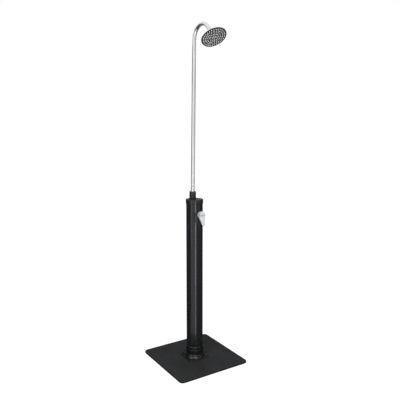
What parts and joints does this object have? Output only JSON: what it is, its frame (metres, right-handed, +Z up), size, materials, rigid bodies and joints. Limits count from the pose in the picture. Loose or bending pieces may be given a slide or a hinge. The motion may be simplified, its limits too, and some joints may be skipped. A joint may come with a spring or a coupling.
{
  "type": "outdoor shower post",
  "caption": "Outdoor shower: water-holding column on a square base, single-lever mixing tap, swivelling gooseneck riser and tilting round rain head.",
  "frame": {"origin": "centre of the square base's footprint, on the ground", "axes": "+Z up along the column, -Y the side of the tap and the shower head, +X to the right when seen from the tap's side"},
  "size_m": [0.5, 0.5272, 2.1408],
  "materials": {
    "base_black": "fine textured matt black powder coat",
    "galvanised": "plain zinc-plated steel",
    "foot_rubber": "matt black rubber",
    "flange_black": "satin black powder coat",
    "bolt_steel": "stainless steel",
    "column_black": "satin-gloss black",
    "plug_black": "moulded black plastic",
    "seal_rubber": "black rubber",
    "gland_black": "satin black moulded plastic",
    "white_bearing": "natural white low-friction plastic",
    "chrome": "bright chrome plate",
    "brass": "plain machined brass",
    "nozzle_grey": "dark grey plastic",
    "nozzle_rubber": "light grey silicone rubber",
    "saddle_black": "satin black plastic",
    "cartridge_white": "white plastic",
    "disc_ceramic": "polished alumina",
    "hose_white": "natural polyethylene",
    "plug_grey": "grey plastic"
  },
  "bodies": {
    "post": {"base_plate": "base_black", "base_stiffeners": "galvanised", "base_feet": "foot_rubber", "foot_flange": "flange_black", "flange_bolts": "bolt_steel", "flange_washers": "bolt_steel", "flange_nuts": "bolt_steel", "column_tube": "column_black", "column_plug": "plug_black", "plug_seal": "seal_rubber", "top_cap": "saddle_black", "cap_seal": "seal_rubber", "gland_body": "brass", "gland_washer": "seal_rubber", "gland_back_nut": "brass", "gland_nut": "gland_black", "thrust_washers": "white_bearing", "tap_saddle": "saddle_black", "saddle_gasket": "seal_rubber", "saddle_screws": "bolt_steel", "mixer_body": "brass", "mixer_gasket": "seal_rubber", "clamp_nut": "brass", "cartridge_housing": "cartridge_white", "disc_gasket": "seal_rubber", "fixed_disc": "disc_ceramic", "cartridge_nut": "chrome", "inlet_nipple": "brass", "inlet_washers": "seal_rubber", "inlet_tee": "plug_black", "drain_plug": "plug_black", "drain_washer": "seal_rubber", "drain_nut": "plug_black", "cold_hose": "hose_white", "warm_pickup": "hose_white", "outlet_pipe": "hose_white"},
    "riser": {"riser_tube": "chrome", "riser_spigot": "brass", "riser_seals": "seal_rubber", "swivel_ring": "brass", "arm_fitting": "chrome", "swivel_nut": "chrome"},
    "head_turner": {"ball_seat": "white_bearing"},
    "head_tilter": {"neck_washer": "white_bearing"},
    "head": {"ball_stem": "chrome", "head_shell": "chrome", "nozzle_plate": "nozzle_grey", "nozzle_mat": "nozzle_rubber"},
    "temperature": {"cartridge_rotor": "cartridge_white", "pivot_pin": "bolt_steel"},
    "disc": {"moving_disc": "disc_ceramic", "disc_slider": "cartridge_white"},
    "handle": {"lever_spindle": "brass", "lever_handle": "chrome", "grub_screw": "bolt_steel", "handle_plug": "plug_grey"}
  },
  "joints": [
    {"name": "riser_swivel", "type": "hinge", "parent": "post", "child": "riser", "pos_m": [0, 0.022, 1.061], "axis": [0, -0.0209, 0.9998], "continuous": true},
    {"name": "head_turn", "type": "hinge", "parent": "riser", "child": "head_turner", "pos_m": [0, -0.18721, 2.06993], "axis": [0, -0.7431, -0.6691], "continuous": true},
    {"name": "head_tilt", "type": "hinge", "parent": "head_turner", "child": "head_tilter", "pos_m": [0, -0.18721, 2.06993], "axis": [1, 0, 0], "range_deg": [-27, 3]},
    {"name": "head_spin", "type": "hinge", "parent": "head_tilter", "child": "head", "pos_m": [0, -0.18721, 2.06993], "axis": [0, -0.5878, -0.809], "continuous": true},
    {"name": "temperature_turn", "type": "hinge", "parent": "post", "child": "temperature", "pos_m": [0, -0.0715, 0.971], "axis": [0, -1, 0], "range_deg": [-45, 45]},
    {"name": "flow_lift", "type": "hinge", "parent": "temperature", "child": "handle", "pos_m": [0, -0.0715, 0.971], "axis": [-1, 0, 0], "range_deg": [0, 25]},
    {"name": "disc_slide", "type": "slide", "parent": "temperature", "child": "disc", "axis": [0, 0, -1], "range_m": [0, 0.0044]}
  ],
  "couplings": [
    {"joint": "disc_slide", "follows": "flow_lift", "m_per_rad": 0.01}
  ]
}
